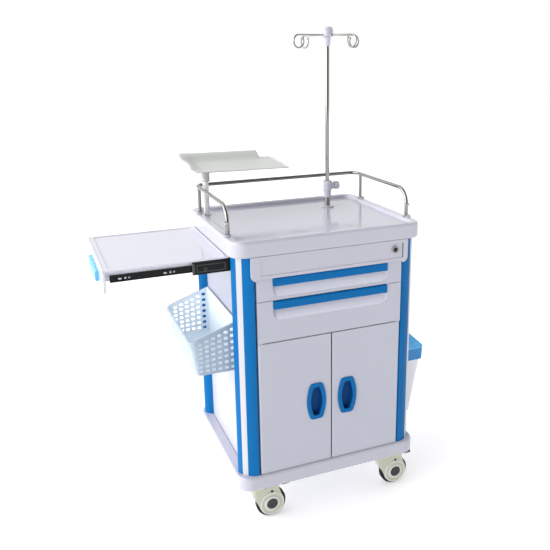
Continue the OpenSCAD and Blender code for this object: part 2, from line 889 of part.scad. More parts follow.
tyre_t = 8;
module wheel() {
    color(grey) translate([trail, 0, wheel_r]) rotate([90, 0, 0]) difference() {
        union() {
            translate([0, 0, -11]) cylinder(r = wheel_r - tyre_t, h = 22);
            translate([0, 0, -12.4]) cylinder(r = 18, h = 24.8);
        }
        translate([0, 0, -20]) cylinder(r = 6 + run_gap, h = 40);
    }
}

module tyre() {
    color(dark) translate([trail, 0, wheel_r]) rotate([90, 0, 0]) rotate_extrude() difference() {
        translate([wheel_r - tyre_t, -12]) square([tyre_t, 24]);
        translate([wheel_r, 12]) corner_waste(5.5);
        translate([wheel_r, -12]) mirror([0, 1]) corner_waste(5.5);
    }
}

module brake_pedal() {
    color(dark) translate([pedal_pin[0], 0, pedal_pin[1]]) difference() {
        union() {
            rotate([90, 0, 0]) translate([0, 0, -9.6]) cylinder(r = 5.4, h = 19.2);
            span([3.6, -9.2, -2.5], [28, 9.2, 2.5]);
            span([27, -17, -3], [50, 17, 3]);
            span([44, -17, -3], [50, 17, 6]);
        }
        rotate([90, 0, 0]) translate([0, 0, -20]) cylinder(r = 2.5 + run_gap, h = 40);
    }
}

module caster_fork_fl() { at_caster(-1, -1) caster_fork(true); }
module caster_fork_fr() { at_caster(1, -1) caster_fork(true); }
module caster_fork_bl() { at_caster(-1, 1) caster_fork(false); }
module caster_fork_br() { at_caster(1, 1) caster_fork(false); }
module wheel_fl() { at_caster(-1, -1) wheel(); }
module wheel_fr() { at_caster(1, -1) wheel(); }
module wheel_bl() { at_caster(-1, 1) wheel(); }
module wheel_br() { at_caster(1, 1) wheel(); }
module tyre_fl() { at_caster(-1, -1) tyre(); }
module tyre_fr() { at_caster(1, -1) tyre(); }
module tyre_bl() { at_caster(-1, 1) tyre(); }
module tyre_br() { at_caster(1, 1) tyre(); }
module brake_pedal_fl() { at_caster(-1, -1) brake_pedal(); }
module brake_pedal_fr() { at_caster(1, -1) brake_pedal(); }

base_moulding();
corner_posts();
trim_strips();
side_panel_left();
side_panel_right();
back_panel();
cupboard_divider();
top_deck();
front_apron();
fascia_panel();
lock_barrel();
lock_core();
guard_rail();
slide_channels();
hang_brackets();
magnet_catches();
door_pivots();
caster_plates();
drawer_1_front();
drawer_1_grip();
drawer_1_box();
drawer_1_runners();
drawer_2_front();
drawer_2_grip();
drawer_2_box();
drawer_2_runners();
door_left();
door_left_handle();
door_right();
door_right_handle();
side_shelf_tray();
side_shelf_end_plate();
side_shelf_handle();
side_shelf_inner_slides();
side_shelf_middle_slides();
wire_basket();
bin_body();
bin_lid();
pole_socket();
pole_clamp();
pole_knob();
pole_rod();
pole_hub();
pole_hooks();
monitor_post();
monitor_tray();
caster_fork_fl();
caster_fork_fr();
caster_fork_bl();
caster_fork_br();
wheel_fl();
wheel_fr();
wheel_bl();
wheel_br();
tyre_fl();
tyre_fr();
tyre_bl();
tyre_br();
brake_pedal_fl();
brake_pedal_fr();
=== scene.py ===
"""Looks of the emergency trolley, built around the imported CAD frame.

Metres, +X to the right seen from the front, the front faces -Y, +Z is up.
"""

import json
import math

import bmesh
import bpy
from mathutils import Matrix, Vector

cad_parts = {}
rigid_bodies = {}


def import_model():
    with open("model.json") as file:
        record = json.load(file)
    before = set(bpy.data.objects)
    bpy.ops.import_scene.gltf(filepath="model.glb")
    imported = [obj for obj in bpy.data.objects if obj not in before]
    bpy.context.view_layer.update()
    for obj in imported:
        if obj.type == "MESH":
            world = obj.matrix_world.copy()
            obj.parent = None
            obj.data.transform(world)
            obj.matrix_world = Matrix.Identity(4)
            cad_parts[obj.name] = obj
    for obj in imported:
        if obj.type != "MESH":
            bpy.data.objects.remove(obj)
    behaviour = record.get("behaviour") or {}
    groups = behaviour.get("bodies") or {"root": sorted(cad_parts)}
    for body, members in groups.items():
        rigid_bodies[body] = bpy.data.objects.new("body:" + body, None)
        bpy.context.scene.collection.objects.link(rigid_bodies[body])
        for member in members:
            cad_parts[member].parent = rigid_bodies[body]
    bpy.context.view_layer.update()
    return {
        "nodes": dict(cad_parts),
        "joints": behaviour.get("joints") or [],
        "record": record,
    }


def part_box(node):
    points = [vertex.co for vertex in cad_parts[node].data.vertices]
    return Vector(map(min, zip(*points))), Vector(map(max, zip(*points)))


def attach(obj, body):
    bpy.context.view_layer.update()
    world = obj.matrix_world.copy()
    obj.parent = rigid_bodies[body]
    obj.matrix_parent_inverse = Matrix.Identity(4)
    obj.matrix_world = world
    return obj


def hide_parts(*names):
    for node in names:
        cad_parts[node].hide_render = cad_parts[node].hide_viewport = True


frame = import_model()
nodes = frame["nodes"]
body_of_node = {n: body for body, members in frame["record"]["behaviour"]["bodies"].items() for n in members}
slot_of_node = {row["node"]: row["material_slot"] for row in frame["record"]["subparts"]}
MM = 0.001


# ---- camera, lights and floor ----

def make_camera():
    """The studio camera: left of the front, a little above the top tray, with a slight roll."""
    azimuth, elevation, roll = map(math.radians, (-22.06, 15.02, -0.62))
    target = Vector((-0.0043, 0, 0.8751))
    distance = 2.2658
    back = Vector((math.sin(azimuth) * math.cos(elevation), -math.cos(azimuth) * math.cos(elevation),
                   math.sin(elevation)))
    right = Vector((math.cos(azimuth), math.sin(azimuth), 0))
    up = back.cross(right)
    turned_right = math.cos(roll) * right + math.sin(roll) * up
    turned_up = math.cos(roll) * up - math.sin(roll) * right
    data = bpy.data.cameras.new("camera")
    data.sensor_width = 36
    data.lens = 44.78
    data.shift_x = -0.0440
    data.shift_y = -0.0694
    camera = bpy.data.objects.new("camera", data)
    place = Matrix((turned_right, turned_up, back)).transposed().to_4x4()
    place.translation = target + back * distance
    camera.matrix_world = place
    bpy.context.scene.collection.objects.link(camera)
    bpy.context.scene.camera = camera


def soft_step(tree, value, low, high, gain):
    """A smooth rise from 0 to gain as a node's value goes from low to high."""
    node = tree.nodes.new("ShaderNodeMapRange")
    node.interpolation_type = "SMOOTHSTEP"
    node.inputs["From Min"].default_value = low
    node.inputs["From Max"].default_value = high
    node.inputs["To Max"].default_value = gain
    tree.links.new(value, node.inputs["Value"])
    return node.outputs["Result"]


def make_world():
    """A white studio: bright on the left and behind the trolley, softer above, dim in front."""
    world = bpy.data.worlds.new("studio")
    bpy.context.scene.world = world
    world.use_nodes = True
    tree = world.node_tree
    coords = tree.nodes.new("ShaderNodeTexCoord")
    split = tree.nodes.new("ShaderNodeSeparateXYZ")
    tree.links.new(coords.outputs["Generated"], split.inputs[0])
    # axis, where the glow starts, where it is full, and its strength
    glows = [
        ("X", -0.30, -1.00, 3.80),  # left
        ("X", 0.45, 1.00, 1.10),    # right
        ("Y", -0.95, -0.35, 0.06),  # everywhere but straight in front
        ("Y", -0.10, 0.80, 0.95),   # behind
        ("Z", 0.10, 0.95, 0.20),    # above
    ]
    dimmest = 0.021
    total = None
    for axis, start, full, strength in glows:
        add = tree.nodes.new("ShaderNodeMath")
        add.operation = "ADD"
        tree.links.new(soft_step(tree, split.outputs[axis], start, full, strength), add.inputs[0])
        if total is None:
            add.inputs[1].default_value = dimmest
        else:
            tree.links.new(total, add.inputs[1])
        total = add.outputs[0]
    background = tree.nodes["Background"]
    background.inputs["Color"].default_value = (1.0, 1.0, 1.0, 1)
    tree.links.new(total, background.inputs["Strength"])
    # the camera itself sees an even white from every side
    backdrop = tree.nodes.new("ShaderNodeBackground")
    backdrop.inputs["Color"].default_value = (1.0, 1.0, 1.0, 1)
    backdrop.inputs["Strength"].default_value = 1.0
    path = tree.nodes.new("ShaderNodeLightPath")
    mix = tree.nodes.new("ShaderNodeMixShader")
    tree.links.new(path.outputs["Is Camera Ray"], mix.inputs[0])
    tree.links.new(background.outputs[0], mix.inputs[1])
    tree.links.new(backdrop.outputs[0], mix.inputs[2])
    tree.links.new(mix.outputs[0], tree.nodes["World Output"].inputs["Surface"])


def area_light(name, place, target, size, power):
    """A rectangular white light that points at target."""
    data = bpy.data.lights.new(name, "AREA")
    data.shape = "RECTANGLE"
    data.size, data.size_y = size
    data.energy = power
    light = bpy.data.objects.new(name, data)
    light.location = place
    light.rotation_euler = (Vector(target) - Vector(place)).to_track_quat("-Z", "Y").to_euler()
    bpy.context.scene.collection.objects.link(light)


def make_floor():
    """A wide white floor with a slight glow, so that it fades into the backdrop."""
    half = 14
    mesh = bpy.data.meshes.new("floor")
    corners = [(-half, -half, 0), (half, -half, 0), (half, half, 0), (-half, half, 0)]
    mesh.from_pydata(corners, [], [(0, 1, 2, 3)])
    floor = bpy.data.objects.new("floor", mesh)
    bpy.context.scene.collection.objects.link(floor)
    material = bpy.data.materials.new("studio_floor")
    material.use_nodes = True
    shader = material.node_tree.nodes["Principled BSDF"]
    shader.inputs["Base Color"].default_value = (0.86, 0.86, 0.87, 1)
    shader.inputs["Roughness"].default_value = 0.85
    shader.inputs["Specular IOR Level"].default_value = 0.1
    shader.inputs["Emission Color"].default_value = (1, 1, 1, 1)
    shader.inputs["Emission Strength"].default_value = 0.36
    mesh.materials.append(material)


# ---- materials ----

def finish(name, colour, roughness, metallic=0.0, drift=0.02, smudge=(16, 0.05), grain=(900, 0.05),
           specks=None, **sockets):
    """A material with slow colour drift, smudges in its roughness and a fine surface grain.

    smudge is (scale, roughness change), grain is (scale, bump strength), and specks, if given,
    is (scale, share, colour) for fine dots in the colour. sockets set the shader's own values.
    """
    material = bpy.data.materials.new(name)
    material.use_nodes = True
    tree = material.node_tree
    link = tree.links.new
    shader = tree.nodes["Principled BSDF"]
    coords = tree.nodes.new("ShaderNodeTexCoord")
    noise_low, noise_high = 0.30, 0.70

    def noise(scale, detail):
        node = tree.nodes.new("ShaderNodeTexNoise")
        node.inputs["Scale"].default_value = scale
        node.inputs["Detail"].default_value = detail
        link(coords.outputs["Object"], node.inputs["Vector"])
        return node.outputs["Fac"]

    ramp = tree.nodes.new("ShaderNodeValToRGB")
    ramp.color_ramp.elements[0].position = noise_low
    ramp.color_ramp.elements[1].position = noise_high
    ramp.color_ramp.elements[0].color = (*[c * (1 - drift) for c in colour], 1)
    ramp.color_ramp.elements[1].color = (*[min(1, c * (1 + drift)) for c in colour], 1)
    link(noise(scale=2.3, detail=4), ramp.inputs["Fac"])
    tone = ramp.outputs["Color"]
    if specks:
        scale, share, dot = specks
        blur = 0.04
        dots = tree.nodes.new("ShaderNodeValToRGB")
        dots.color_ramp.elements[0].position = 1 - share - blur
        dots.color_ramp.elements[1].position = 1 - share + blur
        link(noise(scale, detail=2), dots.inputs["Fac"])
        mix = tree.nodes.new("ShaderNodeMix")
        mix.data_type = "RGBA"
        mix.inputs["B"].default_value = (*dot, 1)
        link(dots.outputs["Color"], mix.inputs["Factor"])
        link(tone, mix.inputs["A"])
        tone = mix.outputs["Result"]
    link(tone, shader.inputs["Base Color"])

    rough = tree.nodes.new("ShaderNodeMapRange")
    smudge_scale, smudge_change = smudge
    rough.inputs["From Min"].default_value = noise_low
    rough.inputs["From Max"].default_value = noise_high
    rough.inputs["To Min"].default_value = max(0.02, roughness - smudge_change)
    rough.inputs["To Max"].default_value = roughness + smudge_change
    link(noise(smudge_scale, detail=6), rough.inputs["Value"])
    link(rough.outputs["Result"], shader.inputs["Roughness"])

    bump = tree.nodes.new("ShaderNodeBump")
    grain_scale, grain_strength = grain
    bump.inputs["Strength"].default_value = grain_strength
    bump.inputs["Distance"].default_value = 0.2 * MM
    link(noise(grain_scale, detail=3), bump.inputs["Height"])
    link(bump.outputs["Normal"], shader.inputs["Normal"])

    shader.inputs["Metallic"].default_value = metallic
    for socket, value in sockets.items():
        shader.inputs[socket.replace("_", " ")].default_value = value
    return material


# the record's material slots
MATERIALS = {
    "white_moulding": finish("white_moulding", (0.520, 0.520, 0.600), 0.12, grain=(420, 0.02), drift=0.012),
    "white_panel": finish("white_panel", (0.505, 0.512, 0.595), 0.34, grain=(700, 0.10), drift=0.012),
    "post_white": finish("post_white", (0.560, 0.560, 0.590), 0.34, grain=(500, 0.06), drift=0.012),
    "blue_plastic": finish("blue_plastic", (0.002, 0.140, 0.400), 0.34, grain=(600, 0.10), drift=0.05,
                           Specular_IOR_Level=0.10),
    "pale_blue_plastic": finish("pale_blue_plastic", (0.12, 0.48, 0.78), 0.28, grain=(600, 0.08), drift=0.03),
    # on the basket this colour is darkened as painted shade for its outer faces
    "basket_plastic": finish("basket_plastic", (0.37, 0.44, 0.51), 0.32, grain=(500, 0.10),
                             Subsurface_Weight=0.2, Subsurface_Radius=(0.012, 0.014, 0.018),
                             Subsurface_Scale=1.0),
    "chrome_tube": finish("chrome_tube", (0.30, 0.296, 0.278), 0.07, metallic=1.0, smudge=(30, 0.04),
                          grain=(300, 0.02)),
    "zinc_steel": finish("zinc_steel", (0.56, 0.57, 0.60), 0.34, metallic=1.0, drift=0.08, smudge=(60, 0.10),
                         grain=(800, 0.12), specks=(240, 0.42, (0.44, 0.46, 0.50))),
    "black_slide": finish("black_slide", (0.006, 0.008, 0.008), 0.32, smudge=(40, 0.08), grain=(900, 0.12),
                          specks=(1500, 0.33, (0.014, 0.016, 0.016)), Specular_IOR_Level=0.18),
    "lock_metal": finish("lock_metal", (0.30, 0.30, 0.31), 0.14, metallic=1.0, smudge=(200, 0.05),
                         grain=(1500, 0.05)),
    "lock_dark": finish("lock_dark", (0.020, 0.020, 0.022), 0.28, metallic=0.4, smudge=(200, 0.06),
                        grain=(1500, 0.08)),
    "black_plastic": finish("black_plastic", (0.008, 0.008, 0.009), 0.46, grain=(1300, 0.20), drift=0.1,
                            Specular_IOR_Level=0.25),
    "grey_coated_steel": finish("grey_coated_steel", (0.56, 0.575, 0.555), 0.40, grain=(420, 0.20), drift=0.02),
    "beige_plastic": finish("beige_plastic", (0.56, 0.56, 0.455), 0.36, grain=(900, 0.16), drift=0.03),
    "wheel_grey": finish("wheel_grey", (0.62, 0.63, 0.60), 0.32, grain=(900, 0.12), drift=0.03),
    "tread_black": finish("tread_black", (0.006, 0.006, 0.0065), 0.62, grain=(1200, 0.35), drift=0.12,
                          specks=(900, 0.36, (0.012, 0.012, 0.011)), Specular_IOR_Level=0.25),
}
# further finishes within a slot: own tints, and copies painted lighter or darker as painted light and shade
# the inside of the door handles' cups: a darker blue as painted shade
CUP_PAINTED_SHADE_BLUE = finish("cup_painted_shade_blue", (0.002, 0.060, 0.230), 0.40, grain=(600, 0.10), drift=0.05,
                  Specular_IOR_Level=0.10)
# the bin lid's upright rim: a deeper blue as painted shade
RIM_PAINTED_SHADE_BLUE = finish("lid_rim_painted_shade_blue", (0.015, 0.270, 0.640), 0.34, grain=(600, 0.08), drift=0.03)
LID_BLUE = finish("lid_blue", (0.130, 0.540, 0.960), 0.30, grain=(600, 0.08), drift=0.03)
# the rings on the casters' cheeks: a light grey as a painted highlight
CHEEK_RING_PAINTED_HIGHLIGHT = finish("cheek_ring_painted_highlight_grey", (0.67, 0.68, 0.62), 0.30, grain=(900, 0.12), drift=0.02)
# the monitor tray's flange: a paler grey than the sheet as painted light
FLANGE_PAINTED_LIGHT = finish("flange_painted_light_grey", (0.60, 0.60, 0.60), 0.36, grain=(420, 0.16), drift=0.02)
MARK_GREY = finish("stamped_mark_grey", (0.50, 0.53, 0.56), 0.38, grain=(900, 0.10), drift=0.05)
# the bar in the fascia's end gap: a dark grey as painted shade
GAP_SHADE_GREY = finish("fascia_gap_painted_shade_grey", (0.140, 0.145, 0.150), 0.38, grain=(900, 0.10), drift=0.05)
CAP_GREY = finish("cap_dark_grey", (0.020, 0.024, 0.026), 0.42, grain=(1100, 0.18), drift=0.08)
# the basket's inner faces: a brighter copy with a glow, as painted light
BASKET_INSIDE_PAINTED_LIGHT = finish("basket_inside_painted_glow", (0.66, 0.74, 0.80), 0.32, grain=(500, 0.10), drift=0.02,
                       Subsurface_Weight=0.2, Subsurface_Radius=(0.012, 0.014, 0.018),
                       Emission_Color=(0.82, 0.91, 1.0, 1), Emission_Strength=0.16)
BIN_WHITE = finish("bin_white", (0.94, 0.94, 0.97), 0.26, grain=(420, 0.03), drift=0.012)
# the drawers' finger recesses: a lighter white as painted light
SCOOP_PAINTED_LIGHT = finish("scoop_painted_light_white", (0.72, 0.73, 0.83), 0.30, grain=(700, 0.08), drift=0.012)
POST_LIGHT = finish("monitor_post_white", (0.86, 0.86, 0.87), 0.30, grain=(420, 0.12), drift=0.02)
# the stamped ribs on the middle slides: a lighter black as a painted highlight
SLIDE_RIB_PAINTED_HIGHLIGHT = finish("slide_rib_painted_highlight_black", (0.055, 0.062, 0.062), 0.30, grain=(900, 0.12), drift=0.05)
SHELF_WHITE = finish("shelf_white", (0.700, 0.700, 0.790), 0.12, grain=(420, 0.02), drift=0.012)
DRAWER_WHITE = finish("drawer_box_white", (0.72, 0.72, 0.75), 0.42, grain=(500, 0.16), drift=0.02)

# nodes whose finish differs from that of their material slot
OWN_FINISH = {
    "drawer_1_box": DRAWER_WHITE, "drawer_2_box": DRAWER_WHITE, "bin_lid": LID_BLUE,
    "bin_body": BIN_WHITE, "monitor_post": POST_LIGHT,
    "side_shelf_tray": SHELF_WHITE, "side_shelf_end_plate": SHELF_WHITE,
}


# ---- building pieces ----

def facing(origin, direction):
    """The place of a detail whose own Z points along direction."""
    turn = Vector(direction).to_track_quat("Z", "Y").to_matrix().to_4x4()
    return Matrix.Translation(Vector(origin)) @ turn


def arc(x, y, radius, start, end, steps=6):
    """Points of an arc, angles in degrees."""
    angles = [math.radians(start + (end - start) * i / steps) for i in range(steps + 1)]
    return [(x + radius * math.cos(a), y + radius * math.sin(a)) for a in angles]


def in_mm(points):
    """Pairs of millimetres as metres."""
    return [(a * MM, b * MM) for a, b in points]


def lathe(mesh, profile, place, segments=40, closed=False):
    """Turns (radius, height) points round place's Z axis. A closed profile ends where it starts."""
    on_axis = 1e-7
    angles = [2 * math.pi * i / segments for i in range(segments)]
    rings = []
    for radius, height in profile:
        if radius < on_axis:
            rings.append([mesh.verts.new(place @ Vector((0, 0, height)))])
            continue
        rings.append([mesh.verts.new(place @ Vector((radius * math.cos(a), radius * math.sin(a), height)))
                      for a in angles])
    above = rings[1:] + rings[:1] if closed else rings[1:]
    for low, high in zip(rings, above):
        count = max(len(low), len(high))
        for i in range(count):
            j = (i + 1) % count
            corners = [low[i % len(low)], low[j % len(low)], high[j % len(high)], high[i % len(high)]]
            mesh.faces.new(list(dict.fromkeys(corners)))


def slab(mesh, low, high, radius, place=Matrix.Identity(4)):
    """A box with rounded edges."""
    middle = (Vector(low) + Vector(high)) / 2
    size = Vector(high) - Vector(low)
    shape = place @ Matrix.Translation(middle) @ Matrix.Diagonal((*size, 1))
    made = bmesh.ops.create_cube(mesh, size=1, matrix=shape)
    edges = list({edge for vert in made["verts"] for edge in vert.link_edges})
    bmesh.ops.bevel(mesh, geom=edges, offset=radius, offset_type="OFFSET", segments=3,
                    profile=0.5, affect="EDGES", clamp_overlap=True)


def piece(name, mesh, body, slot, material=None, crease=35):
    """Turns a bmesh into a piece that rides on a body. Edges sharper than crease degrees stay sharp."""
    bmesh.ops.recalc_face_normals(mesh, faces=mesh.faces)
    data = bpy.data.meshes.new(name)
    mesh.to_mesh(data)
    mesh.free()
    data.polygons.foreach_set("use_smooth", [True] * len(data.polygons))
    data.set_sharp_from_angle(angle=math.radians(crease))
    data.materials.append(material or MATERIALS[slot])
    made = bpy.data.objects.new(name, data)
    bpy.context.scene.collection.objects.link(made)
    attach(made, body)
    return made


def softened(node, width, segments=3, paint=None, split_z=None):
    """Stands for a CAD node with the same shape, its sharp edges rounded off.

    paint is (material, test): faces whose middle passes the test take that material.
    split_z is a height where faces are cut, so that paint can end there.
    """
    same_point, flat_angle, edge_angle = 1e-6, math.radians(0.6), math.radians(30)
    mesh = bmesh.new()
    mesh.from_mesh(nodes[node].data)
    bmesh.ops.remove_doubles(mesh, verts=mesh.verts, dist=same_point)
    bmesh.ops.dissolve_limit(mesh, angle_limit=flat_angle, verts=mesh.verts, edges=mesh.edges)
    if split_z is not None:
        everything = list(mesh.verts) + list(mesh.edges) + list(mesh.faces)
        bmesh.ops.bisect_plane(mesh, geom=everything, plane_co=(0, 0, split_z), plane_no=(0, 0, 1))
    for face in mesh.faces:
        face.material_index = 0
        if paint and paint[1](face.calc_center_median()):
            face.material_index = 1
    made = piece(node + "_skin", mesh, body_of_node[node], slot_of_node[node], OWN_FINISH.get(node), crease=180)
    if paint:
        made.data.materials.append(paint[0])
    bevel = made.modifiers.new("rounded_edges", "BEVEL")
    bevel.width = width
    bevel.segments = segments
    bevel.limit_method = "ANGLE"
    bevel.angle_limit = edge_angle
    bevel.miter_outer = "MITER_ARC"
    normals = made.modifiers.new("even_shading", "WEIGHTED_NORMAL")
    normals.weight = 80
    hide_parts(node)


def screw(mesh, place, radius, socket=0.45):
    """A pan head with a round socket, whose radius is a share of the head's."""
    height = radius * 0.62
    flat = radius * 0.62
    floor = height * 0.35
    profile = [(0, floor), (radius * socket, floor), (radius * socket, height * 0.94), (flat, height)]
    profile += arc(flat, floor, radius * 0.38, 80, 0, 5) + [(radius, 0), (0, 0)]
    lathe(mesh, profile, place, 24)


def washer_ring(mesh, place, inner, outer, height):
    """A low ring with a rounded top."""
    edge = min(height, (outer - inner) / 2) * 0.8
    profile = [(inner, 0), (outer, 0), (outer, height - edge)]
    profile += arc(outer - edge, height - edge, edge, 0, 90, 4) + [(inner, height)]
    lathe(mesh, profile, place, 40, closed=True)


# ---- softened shells ----

# the radius of each node's rounded edges, in mm
ROUNDING = {
    "base_moulding": 1.6, "top_deck": 1.6, "corner_posts": 0.8, "trim_strips": 0.8,
    "side_panel_left": 0.6, "side_panel_right": 0.6, "back_panel": 0.8, "cupboard_divider": 0.6,
    "front_apron": 1.8, "fascia_panel": 0.5, "lock_barrel": 0.7, "lock_core": 0.4,
    "drawer_1_grip": 0.7, "drawer_2_grip": 0.7,
    "drawer_1_box": 0.9, "drawer_2_box": 0.9, "door_left": 1.6, "door_right": 1.6,
    "side_shelf_tray": 0.9, "side_shelf_end_plate": 1.6, "side_shelf_handle": 1.1,
    "bin_body": 0.8, "pole_clamp": 1.2, "pole_knob": 1.2,
    "hang_brackets": 0.5, "magnet_catches": 0.6,
    "slide_channels": 0.4, "drawer_1_runners": 0.4, "drawer_2_runners": 0.4,
    "side_shelf_inner_slides": 0.35, "side_shelf_middle_slides": 0.4,
    "caster_fork_fl": 2.0, "caster_fork_fr": 2.0, "caster_fork_bl": 2.0, "caster_fork_br": 2.0,
    "wheel_fl": 0.8, "wheel_fr": 0.8, "wheel_bl": 0.8, "wheel_br": 0.8,
    "brake_pedal_fl": 1.0, "brake_pedal_fr": 1.0,
}


def dress_nodes():
    """Every CAD node takes its finish, and the moulded ones get rounded edges."""
    for node, shown in nodes.items():
        for slot in shown.material_slots:
            slot.material = OWN_FINISH.get(node, MATERIALS[slot_of_node[node]])
    for node, width in ROUNDING.items():
        softened(node, width * MM)


def lid():
    """The bin's lid: pale on its slope, and its upright rim painted deeper blue as painted shade."""
    low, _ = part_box("bin_lid")
    rim_top = low.z + 41 * MM

    def on_rim(point):
        return point.z < rim_top

    softened("bin_lid", 1.4 * MM, paint=(RIM_PAINTED_SHADE_BLUE, on_rim), split_z=rim_top)


def drawer_fronts():
    """Drawer fronts whose finger recesses are painted a lighter white as painted light, where their slopes face
    up.
    """
    skin, deepest, half_width, sill = 0.6 * MM, 13.6 * MM, 191 * MM, 2 * MM
    for drawer in ("1", "2"):
        low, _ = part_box(f"drawer_{drawer}_front")

        def in_scoop(point, low=low):
            sunk = skin < point.y - low.y < deepest
            return sunk and abs(point.x) < half_width and point.z > low.z + sill

        softened(f"drawer_{drawer}_front", 1.8 * MM, paint=(SCOOP_PAINTED_LIGHT, in_scoop))


def pole_foot():
    """The pole's socket, with its flange in the deck's white."""
    flange_foot, flange_top = 939.5 * MM, 945.5 * MM

    def on_flange(point):
        return flange_foot < point.z < flange_top

    softened("pole_socket", 0.8 * MM, paint=(MATERIALS["white_moulding"], on_flange))


def door_handles():
    """Blue bezels with a cup painted dark blue as painted shade."""
    cup_half_width, cup_half_height, bezel = 19.4 * MM, 48.4 * MM, 1.0 * MM
    for side in ("left", "right"):
        low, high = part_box(f"door_{side}_handle")
        middle = (low + high) / 2

        def in_cup(point, middle=middle, low=low):
            across, up = abs(point.x - middle.x), abs(point.z - middle.z)
            return across < cup_half_width and up < cup_half_height and point.y > low.y + bezel

        softened(f"door_{side}_handle", 1.5 * MM, segments=4, paint=(CUP_PAINTED_SHADE_BLUE, in_cup))


# ---- basket ----

def cut(target, cutter):
    """Takes the cutter's shape out of the target's mesh, and removes the cutter."""
    modifier = target.modifiers.new("cut", "BOOLEAN")
    modifier.object = cutter
    modifier.solver = "EXACT"
    result = bpy.data.meshes.new_from_object(target.evaluated_get(bpy.context.evaluated_depsgraph_get()))
    target.modifiers.clear()
    target.data = result
    bpy.data.objects.remove(cutter)
    result.polygons.foreach_set("use_smooth", [True] * len(result.polygons))
    result.set_sharp_from_angle(angle=math.radians(35))


def rounded_rectangle(x0, x1, y0, y1, left_r, right_r, steps=6):
    """Outline of a rectangle, counterclockwise, with one radius for its corners at x0 and one at x1."""
    points = arc(x1 - right_r, y0 + right_r, right_r, -90, 0, steps)
    points += arc(x1 - right_r, y1 - right_r, right_r, 0, 90, steps)
    points += arc(x0 + left_r, y1 - left_r, left_r, 90, 180, steps)
    points += arc(x0 + left_r, y0 + left_r, left_r, 180, 270, steps)
    return points


def basket():
    """A thin translucent box with a slanted rolled rim and rows of holes in its end walls. Its outside is
    painted darker as painted shade, and its inside lighter and glowing as painted light.
    """
    low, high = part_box("wire_basket")
    lip = 4 * MM
    wall = 3 * MM
    inner = high.x
    outer = low.x + lip
    foot = outer + 17 * MM
    half = high.y - lip
    drop = 51 * MM

    def rim_height(x):
        return high.z - drop * (inner - x) / (inner - outer)

    def ring(inset, level, lift):
        """The outline at a height: level 0 is the foot, level 1 the slanted rim."""
        def outline(share):
            left = foot + (outer - foot) * share + inset
            radius = (12 + 8 * share) * MM - inset
            right = inner - max(inset, 0)
            inner_radius = 7 * MM - min(inset, wall)
            return rounded_rectangle(left, right, -half + inset, half - inset, radius, inner_radius)
        return [(x, y, low.z + (rim_height(rim[0]) - low.z) * level + lift)
                for (x, y), rim in zip(outline(level), outline(1))]

    # (inset in mm, level, lift in mm), up the outside, over the lip and down the inside
    rows = [(4, 0, 0), (1.2, 0, 1.2), (0, 0, 4), (0, 0.25, 0), (0, 0.5, 0), (0, 0.75, 0), (0, 1, -9),
            (-4, 1, -9), (-4, 1, -3), (-2.8, 1, -0.8), (-1, 1, 0), (2, 1, 0), (3, 1, -1),
            (3, 0.75, 0), (3, 0.5, 0), (3, 0.25, 0), (3, 0, 7), (4.2, 0, 4.2), (7, 0, 3)]
    mesh = bmesh.new()
    rings = [[mesh.verts.new(point) for point in ring(inset * MM, level, lift * MM)]
             for inset, level, lift in rows]
    count = len(rings[0])
    first_inner = 12
    for row, (lower, upper) in enumerate(zip(rings, rings[1:])):
        for i in range(count):
            j = (i + 1) % count
            face = mesh.faces.new((lower[i], lower[j], upper[j], upper[i]))
            # outer faces take the darkened basket_plastic as painted shade, inner faces the brighter glowing
            # finish as painted light
            face.material_index = 1 if row >= first_inner else 0
    mesh.faces.new(list(reversed(rings[0])))
    mesh.faces.new(rings[-1]).material_index = 1
    shell = piece("basket_shell", mesh, "cabinet", "basket_plastic")
    shell.data.materials.append(BASKET_INSIDE_PAINTED_LIGHT)

    holes = bmesh.new()
    columns, lines = 6, 7
    half_wide, half_high, corner = 6.5 * MM, 5.2 * MM, 3.4 * MM
    lowest, below_rim, past_wall = low.z + 14 * MM, 20 * MM, 20 * MM
    for i in range(columns):
        x = inner - (17 + 20 * i) * MM
        for j in range(lines):
            z = lowest + (rim_height(x) - below_rim - lowest) * j / (lines - 1)
            outline = rounded_rectangle(x - half_wide, x + half_wide, z - half_high, z + half_high,
                                        corner, corner, steps=4)
            ends = [[holes.verts.new((u, side * (half + past_wall), v)) for u, v in outline]
                    for side in (-1, 1)]
            for k in range(len(outline)):
                n = (k + 1) % len(outline)
                holes.faces.new((ends[0][k], ends[0][n], ends[1][n], ends[1][k]))
            holes.faces.new(list(reversed(ends[0])))
            holes.faces.new(ends[1])
    bmesh.ops.recalc_face_normals(holes, faces=holes.faces)
    data = bpy.data.meshes.new("basket_holes")
    holes.to_mesh(data)
    holes.free()
    cutter = bpy.data.objects.new("basket_holes", data)
    bpy.context.scene.collection.objects.link(cutter)
    cut(shell, cutter)
    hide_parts("wire_basket")


# ---- monitor tray ----

def smooth(value, low, high):
    """0 below low, 1 above high, and a smooth rise between them."""
    t = min(1, max(0, (value - low) / (high - low)))
    return t * t * (3 - 2 * t)


def sheet(name, rows, thickness, body, slot, material=None):
    """A sheet of points in rows, made solid downwards and smoothed."""
    mesh = bmesh.new()
    verts = [[mesh.verts.new(point) for point in row] for row in rows]
    for near, far in zip(verts, verts[1:]):
        for i in range(len(near) - 1):
            mesh.faces.new((near[i], near[i + 1], far[i + 1], far[i]))
    made = piece(name, mesh, body, slot, material, crease=60)
    if made.data.polygons[0].normal.z < 0:
        made.data.flip_normals()
    solid = made.modifiers.new("thickness", "SOLIDIFY")
    solid.thickness = thickness
    solid.offset = -1
    return made


